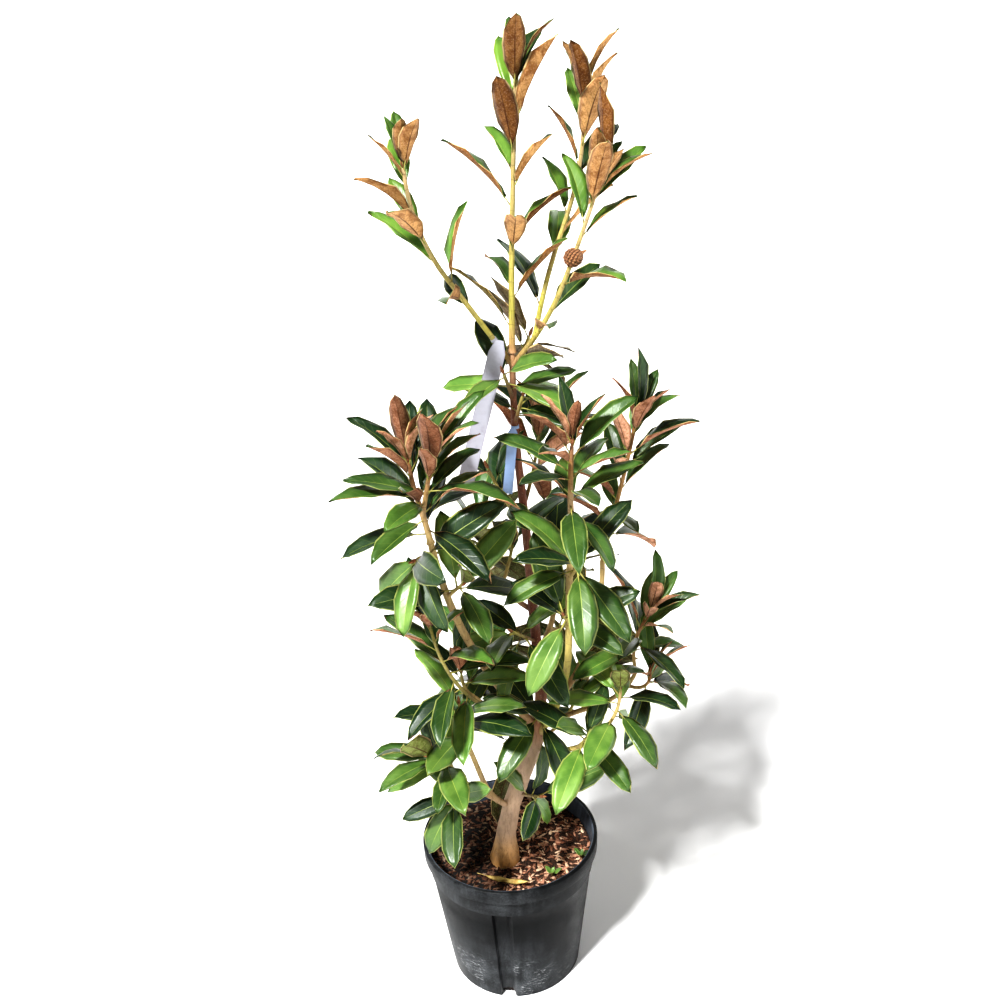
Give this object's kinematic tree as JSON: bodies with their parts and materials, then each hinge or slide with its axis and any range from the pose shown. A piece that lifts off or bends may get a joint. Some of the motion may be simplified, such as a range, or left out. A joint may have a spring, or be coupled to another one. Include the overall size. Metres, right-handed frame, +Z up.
{
  "type": "potted magnolia tree",
  "caption": "Young evergreen magnolia with a leaning trunk, upright shoots and long glossy leaves, planted in bark compost in a round fluted black nursery pot.",
  "frame": {"origin": "centre of the pot's flat underside, on the ground", "axes": "+Z up along the pot's axis, -Y towards the front of the plant, +X to its right as seen from the front"},
  "size_m": [0.5733, 0.565, 1.6528],
  "materials": {
    "pot": "satin black, dusty",
    "soil": "loose bark compost",
    "trunk_bark": "rough bark",
    "bough_bark": "smooth young bark",
    "leaves": "glossy leaf",
    "label_white": "matte",
    "label_blue": "matte"
  },
  "bodies": {
    "root": {"pot": "pot", "soil": "soil", "trunk": "trunk_bark", "bough_back": "bough_bark", "bough_back_left": "bough_bark", "bough_back_low": "bough_bark", "bough_left_front": "bough_bark", "bough_left_mid": "bough_bark", "bough_low_front": "bough_bark", "bough_low_left": "bough_bark", "bough_right_back": "bough_bark", "bough_right_front": "bough_bark", "bough_right_low": "bough_bark", "bough_right_mid": "bough_bark", "foliage_back": "leaves", "foliage_back_b": "leaves", "foliage_back_left": "leaves", "foliage_back_left_b": "leaves", "foliage_back_low": "leaves", "foliage_back_low_b": "leaves", "foliage_basal_back": "leaves", "foliage_basal_right": "leaves", "foliage_centre": "leaves", "foliage_fork_front": "leaves", "foliage_left": "leaves", "foliage_left_inner": "leaves", "foliage_left_low": "leaves", "foliage_left_mid": "leaves", "foliage_left_outer": "leaves", "foliage_low_front": "leaves", "foliage_low_front_b": "leaves", "foliage_low_left": "leaves", "foliage_neck_front": "leaves", "foliage_neck_left": "leaves", "foliage_neck_right": "leaves", "foliage_right": "leaves", "foliage_right_back": "leaves", "foliage_right_front": "leaves", "foliage_right_inner": "leaves", "foliage_right_low": "leaves", "foliage_right_low_b": "leaves", "foliage_right_mid": "leaves", "foliage_right_outer": "leaves", "foliage_right_outer_b": "leaves", "foliage_top": "leaves", "foliage_top_left": "leaves", "foliage_top_right": "leaves", "foliage_upper_back": "leaves", "foliage_upper_left": "leaves", "label_blue": "label_blue", "label_white": "label_white"}
  },
  "joints": []
}
